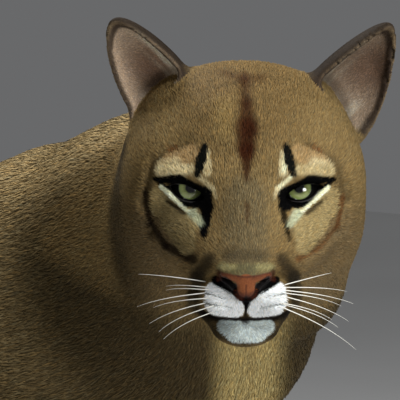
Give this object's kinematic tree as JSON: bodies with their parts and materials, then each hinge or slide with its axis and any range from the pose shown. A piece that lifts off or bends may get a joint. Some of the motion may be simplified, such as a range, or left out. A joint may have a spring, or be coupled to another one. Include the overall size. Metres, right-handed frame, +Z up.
{
  "type": "cougar",
  "caption": "Life-size cougar standing square on its feet, head turned to its right and lowered a little, long tail hanging low, as a still museum model.",
  "frame": {"origin": "middle of the bounding box at floor level, between the four feet's soles and under the back", "axes": "+Z up; the body faces -Y and the tail points to +Y; the animal's left side is +X; the head is turned 56 degrees to its right"},
  "size_m": [0.3768, 1.5856, 0.8189],
  "materials": {
    "fur": "short tawny coat, greyer and darker along the back, paler below",
    "ear_fur": "short coat, dark brown behind, thin pale grey hair and pinkish skin inside",
    "paw_fur": "short dense coat over the toes, dark bare pads below",
    "eye": "wet clear cornea over a grey-green iris with a dark round pupil"
  },
  "bodies": {
    "root": {"head": "fur", "ear_left": "ear_fur", "ear_right": "ear_fur", "eye_left": "eye", "eye_right": "eye", "neck": "fur", "torso": "fur", "upper_foreleg_left": "fur", "forearm_left": "fur", "forepaw_left": "paw_fur", "upper_foreleg_right": "fur", "forearm_right": "fur", "forepaw_right": "paw_fur", "thigh_left": "fur", "shank_left": "fur", "hindpaw_left": "paw_fur", "thigh_right": "fur", "shank_right": "fur", "hindpaw_right": "paw_fur", "tail_base": "fur", "tail_middle": "fur", "tail_tip": "fur"}
  },
  "joints": []
}
